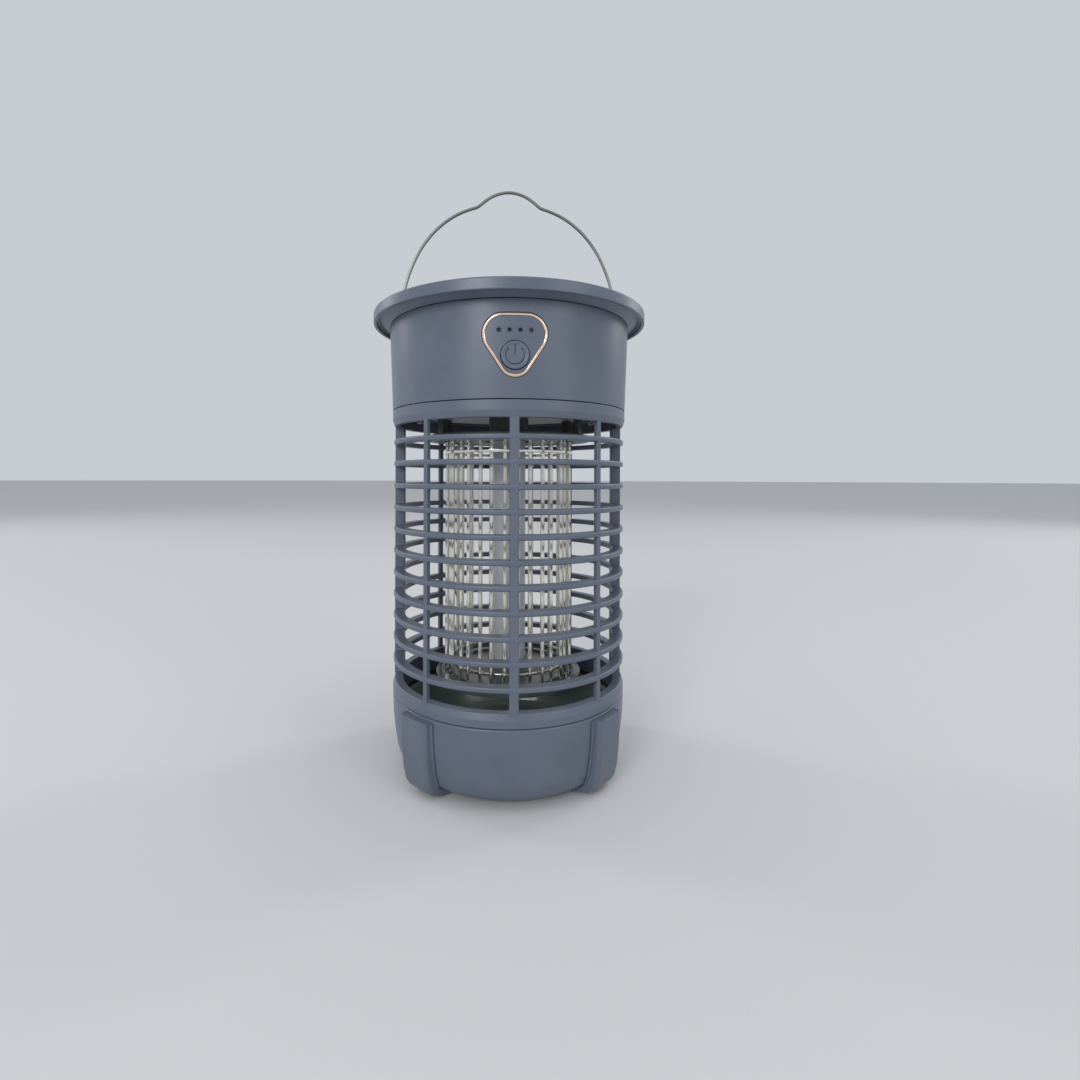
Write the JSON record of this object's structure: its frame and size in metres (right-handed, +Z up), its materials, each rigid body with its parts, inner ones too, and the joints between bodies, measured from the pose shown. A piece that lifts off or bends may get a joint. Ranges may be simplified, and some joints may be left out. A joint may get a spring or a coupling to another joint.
{
  "type": "electric bug zapper",
  "caption": "Lantern-shaped electric bug zapper with a slatted cage, wire hanging bail, brimmed head with button, and lift-off insect tray on feet.",
  "frame": {"origin": "centre of the four feet, on the surface that the feet stand on, under the cylinder's axis", "axes": "+Z up along the cylinder's axis, -Y towards the front with the button, +X to the right seen from the front"},
  "size_m": [0.148, 0.148, 0.3154],
  "materials": {
    "housing_plastic": "fine matte texture, slate blue-grey",
    "bezel_metal": "polished rose gold",
    "button_plastic": "satin",
    "led_lens": "smoked, gloss",
    "bail_steel": "drawn wire",
    "grid_steel": "polished",
    "insulator_plastic": "satin dark grey",
    "reflector_plastic": "white gloss",
    "lamp_plastic": "frosted grey",
    "socket_plastic": "satin grey",
    "board_laminate": "solder mask",
    "battery_sleeve": "shrink sleeve",
    "component_plastic": "potted",
    "screw_steel": "zinc plated",
    "seal_rubber": "soft matte",
    "port_metal": "plated"
  },
  "bodies": {
    "tray": {"insect_tray": "housing_plastic", "foot_front_left": "housing_plastic", "foot_front_right": "housing_plastic", "foot_rear_right": "housing_plastic", "foot_rear_left": "housing_plastic"},
    "seal": {"tray_seal": "seal_rubber"},
    "lantern": {"top_cover": "housing_plastic", "upper_housing": "housing_plastic", "badge_bezel": "bezel_metal", "badge_panel": "housing_plastic", "button_board": "board_laminate", "tact_switch": "component_plastic", "charge_led_1": "led_lens", "charge_led_2": "led_lens", "charge_led_3": "led_lens", "charge_led_4": "led_lens", "charge_board": "board_laminate", "charging_socket": "port_metal", "bail_socket_left": "housing_plastic", "bail_socket_right": "housing_plastic", "head_floor": "housing_plastic", "control_board": "board_laminate", "step_up_transformer": "component_plastic", "storage_capacitor": "component_plastic", "battery_cradle": "insulator_plastic", "battery_cell_front": "battery_sleeve", "battery_cell_rear": "battery_sleeve", "reflector_plate": "reflector_plastic", "lamp_tube": "lamp_plastic", "lamp_strip": "board_laminate", "lamp_socket": "socket_plastic", "upper_insulator": "insulator_plastic", "lower_insulator": "insulator_plastic", "live_grid": "grid_steel", "ground_grid": "grid_steel", "cage": "housing_plastic", "cover_screw_1": "screw_steel", "cover_screw_2": "screw_steel", "cover_screw_3": "screw_steel", "cover_screw_4": "screw_steel", "cage_screw_1": "screw_steel", "cage_screw_2": "screw_steel", "cage_screw_3": "screw_steel", "cage_screw_4": "screw_steel"},
    "bail": {"bail_handle": "bail_steel"},
    "button": {"power_button": "button_plastic"},
    "port_flap": {"port_cover": "seal_rubber"}
  },
  "joints": [
    {"name": "tray_lift", "type": "slide", "parent": "tray", "child": "seal", "axis": [0, 0, 1], "range_m": [0, 0.06]},
    {"name": "tray_turn", "type": "hinge", "parent": "seal", "child": "lantern", "pos_m": [0, 0, 0.0406], "axis": [0, 0, 1], "range_deg": [0, 20]},
    {"name": "bail_swing", "type": "hinge", "parent": "lantern", "child": "bail", "pos_m": [0, 0, 0.24355], "axis": [1, 0, 0], "range_deg": [-90, 90]},
    {"name": "button_press", "type": "slide", "parent": "lantern", "child": "button", "axis": [0, 1, 0], "range_m": [0, 0.0012], "stiffness_N_per_m": 900, "springref_m": -0.0008},
    {"name": "port_cover_lift", "type": "hinge", "parent": "lantern", "child": "port_flap", "pos_m": [0, 0.0655, 0.2113], "axis": [1, 0, 0], "range_deg": [0, 110]}
  ]
}
